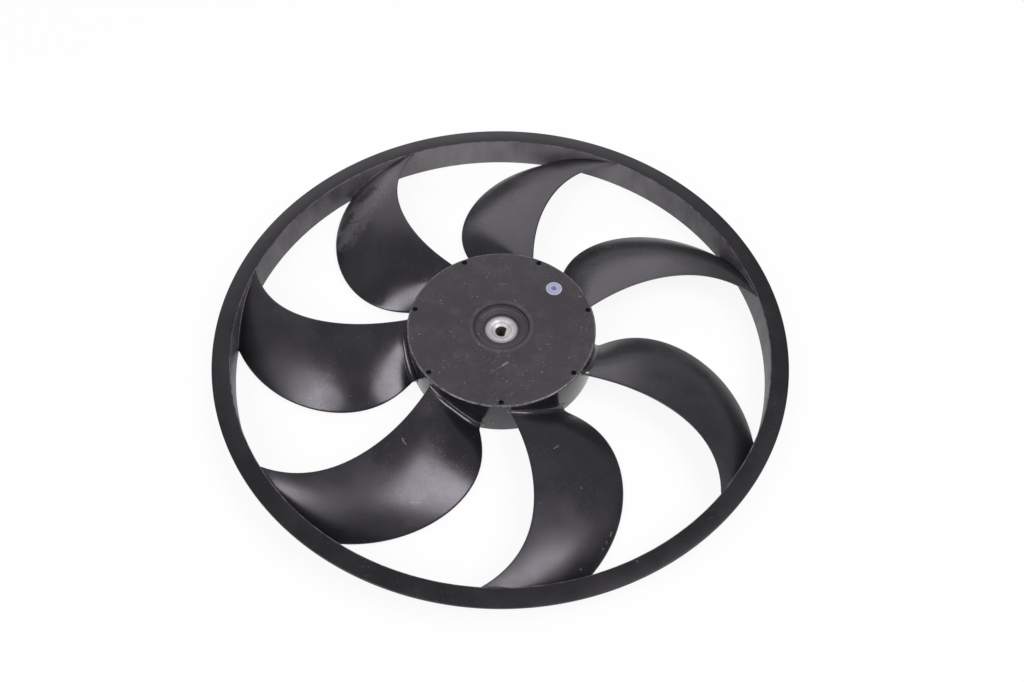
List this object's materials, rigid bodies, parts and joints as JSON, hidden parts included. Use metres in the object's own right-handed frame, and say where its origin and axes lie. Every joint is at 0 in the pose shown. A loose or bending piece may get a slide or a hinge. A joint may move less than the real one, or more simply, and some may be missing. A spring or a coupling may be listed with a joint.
{
  "type": "axial fan impeller",
  "caption": "Moulded axial fan impeller: hub cup with a metal shaft bush, forward-swept blades and a flanged rim ring; it pushes air along the shaft",
  "frame": {"origin": "On the shaft axis, in the plane of the feet of the hub skirt and the rim ring, on which the impeller lies with its closed hub face up", "axes": "+Z runs along the shaft axis and out of the closed hub face. +X and +Y are square to it, and the first blade's middle line at the hub points close to +Y. It turns clockwise seen from +Z"},
  "size_m": [0.38, 0.38, 0.0284],
  "materials": {
    "moulding": "fine satin, black glass-filled polyamide",
    "bush_metal": "turned, dull",
    "dot_paper": "smudged self-adhesive dot"
  },
  "bodies": {
    "root": {"impeller": "moulding", "shaft_bush": "bush_metal", "inspection_dot": "dot_paper"}
  },
  "joints": []
}
